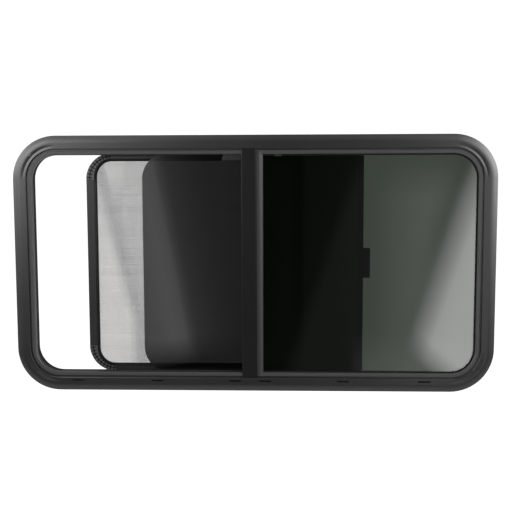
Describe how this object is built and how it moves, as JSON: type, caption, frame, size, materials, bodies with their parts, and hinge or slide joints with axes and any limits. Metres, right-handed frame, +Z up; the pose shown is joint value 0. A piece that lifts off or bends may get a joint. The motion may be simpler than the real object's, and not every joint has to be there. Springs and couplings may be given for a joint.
{
  "type": "caravan window",
  "caption": "Half-slider caravan window: black bent frame with round corners, fixed pane, sliding pane and sliding fly screen in tracks.",
  "frame": {"origin": "on the flange's seal where it meets the wall's outer face, at the middle of the sill", "axes": "+X along the window to the right as seen from outside, +Y inward through the wall, +Z up"},
  "size_m": [0.964, 0.0423, 0.516],
  "materials": {
    "powder_coat": "satin black powder coat",
    "bead_coat": "satin black powder coat",
    "tinted_glass": "dark tinted toughened glass",
    "black_rubber": "matt black rubber",
    "seal_foam": "closed-cell foam",
    "black_plastic": "moulded black plastic",
    "key_plastic": "ribbed black plastic",
    "brush_pile": "dense pile",
    "screen_mesh": "coated glass-fibre mesh",
    "screw_steel": "zinc plated"
  },
  "bodies": {
    "frame": {"outer_frame": "powder_coat", "flange_seal": "seal_foam", "clamp_ring": "powder_coat", "clamp_screws": "screw_steel", "mullion": "powder_coat", "mullion_brush": "brush_pile", "glazing_bead": "bead_coat", "fixed_glass": "tinted_glass", "fixed_gasket": "black_rubber", "glazing_clip": "black_plastic", "head_block": "black_plastic", "pocket_filler": "black_plastic", "sash_run_channel": "black_rubber", "screen_run_channel": "black_plastic", "sash_end_stops": "black_rubber", "screen_end_stops": "black_rubber"},
    "sash": {"sash_glass": "tinted_glass", "sash_stile": "powder_coat", "sash_latch": "black_plastic", "latch_lever": "black_plastic"},
    "fly_screen": {"screen_left_stile": "powder_coat", "screen_right_stile": "powder_coat", "screen_top_rail": "powder_coat", "screen_bottom_rail": "powder_coat", "screen_corner_top_left": "key_plastic", "screen_corner_bottom_left": "key_plastic", "screen_corner_top_right": "key_plastic", "screen_corner_bottom_right": "key_plastic", "screen_spline": "black_rubber", "screen_mesh": "screen_mesh"}
  },
  "joints": [
    {"name": "sash_slide", "type": "slide", "parent": "frame", "child": "sash", "axis": [1, 0, 0], "range_m": [-0.2236, 0.165]},
    {"name": "screen_slide", "type": "slide", "parent": "frame", "child": "fly_screen", "axis": [1, 0, 0], "range_m": [-0.1082, 0.283]}
  ]
}
